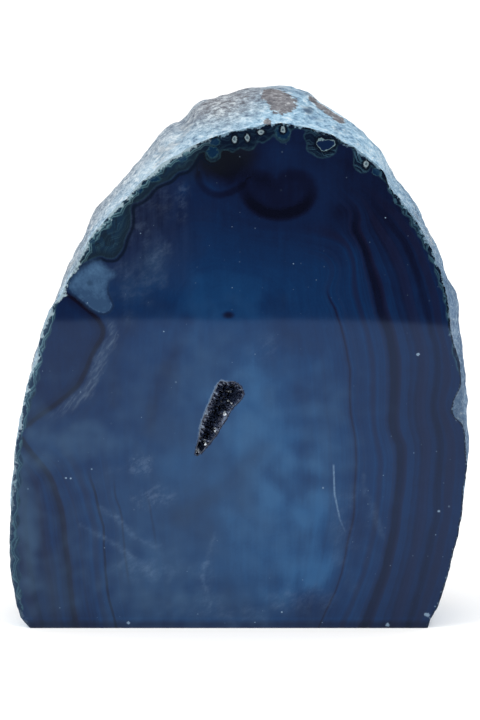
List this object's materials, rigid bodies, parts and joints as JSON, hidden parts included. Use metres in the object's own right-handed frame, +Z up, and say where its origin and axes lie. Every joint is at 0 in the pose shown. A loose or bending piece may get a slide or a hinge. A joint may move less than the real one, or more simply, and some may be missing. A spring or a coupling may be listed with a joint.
{
  "type": "cut-base agate half nodule",
  "caption": "Half of a banded blue agate nodule with a polished upright face, a crystal-lined vug, a rough rind behind and a sawn base to stand on.",
  "frame": {"origin": "middle of the stone's bounding box, on the floor plane of the sawn base", "axes": "+Z up, -Y out of the polished face, +X to the right as one looks at that face"},
  "size_m": [0.1168, 0.0585, 0.1359],
  "materials": {
    "agate": "polished blue-dyed banded face, satin sawn base, rough whitish to grey-blue rind",
    "quartz_druse": "small glossy translucent crystals, dyed blue"
  },
  "bodies": {
    "root": {"agate_slab": "agate", "vug_crystals": "quartz_druse"}
  },
  "joints": []
}
